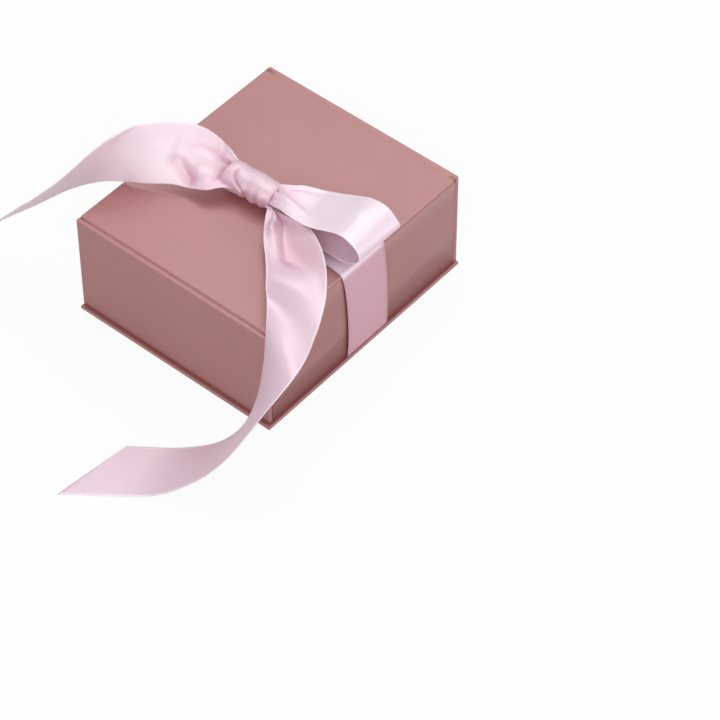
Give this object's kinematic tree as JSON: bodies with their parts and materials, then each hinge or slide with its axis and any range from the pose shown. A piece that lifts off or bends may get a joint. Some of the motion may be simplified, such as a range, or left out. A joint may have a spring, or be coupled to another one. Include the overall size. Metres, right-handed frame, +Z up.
{
  "type": "gift box",
  "caption": "Rigid paper-covered gift box with a hinged lid, a magnetic front flap and a satin ribbon tied over it in a one-loop bow.",
  "frame": {"origin": "centre of the box's footprint, on the underside of the base board, below the middle of the lid", "axes": "+Z up; the magnetic flap faces -Y and the spine +Y; the ribbon runs along X over the lid"},
  "size_m": [0.1703, 0.1951, 0.0754],
  "materials": {
    "rose_paper": "pearlescent, fine grain",
    "lining_paper": "matte, uncoated",
    "greyboard": "raw board",
    "corner_paper": "raw kraft",
    "magnet": "plated",
    "satin_ribbon": "satin weave with woven edges"
  },
  "bodies": {
    "base": {"base_board": "greyboard", "base_wrap": "rose_paper", "tray_floor_board": "greyboard", "tray_wall_front": "greyboard", "tray_wall_back": "greyboard", "tray_wall_left": "greyboard", "tray_wall_right": "greyboard", "corner_stays": "corner_paper", "tray_wrap": "rose_paper", "tray_lining": "lining_paper", "tray_magnets": "magnet", "spine_board": "greyboard", "spine_wrap": "rose_paper", "back_hinge_paper": "rose_paper"},
    "lid": {"lid_board": "greyboard", "lid_wrap": "rose_paper", "lid_lining": "lining_paper", "front_hinge_paper": "rose_paper"},
    "flap": {"flap_board": "greyboard", "flap_wrap": "rose_paper", "flap_lining": "lining_paper", "flap_magnets": "magnet"},
    "ribbon": {"ribbon_band_top": "satin_ribbon", "ribbon_side_left": "satin_ribbon", "ribbon_side_right": "satin_ribbon", "ribbon_knot": "satin_ribbon", "ribbon_loop": "satin_ribbon", "ribbon_tail_left": "satin_ribbon", "ribbon_tail_front": "satin_ribbon"}
  },
  "joints": [
    {"name": "lid_hinge", "type": "hinge", "parent": "base", "child": "lid", "pos_m": [0, 0.0576, 0.0496], "axis": [-1, 0, 0], "range_deg": [0, 120], "deforming": ["back_hinge_paper"]},
    {"name": "flap_hinge", "type": "hinge", "parent": "lid", "child": "flap", "pos_m": [0, -0.0576, 0.0496], "axis": [-1, 0, 0], "range_deg": [0, 90], "deforming": ["front_hinge_paper", "ribbon_tail_front"]},
    {"name": "ribbon_lift", "type": "slide", "parent": "lid", "child": "ribbon", "axis": [0, 0, 1], "range_m": [0, 0.08]}
  ]
}
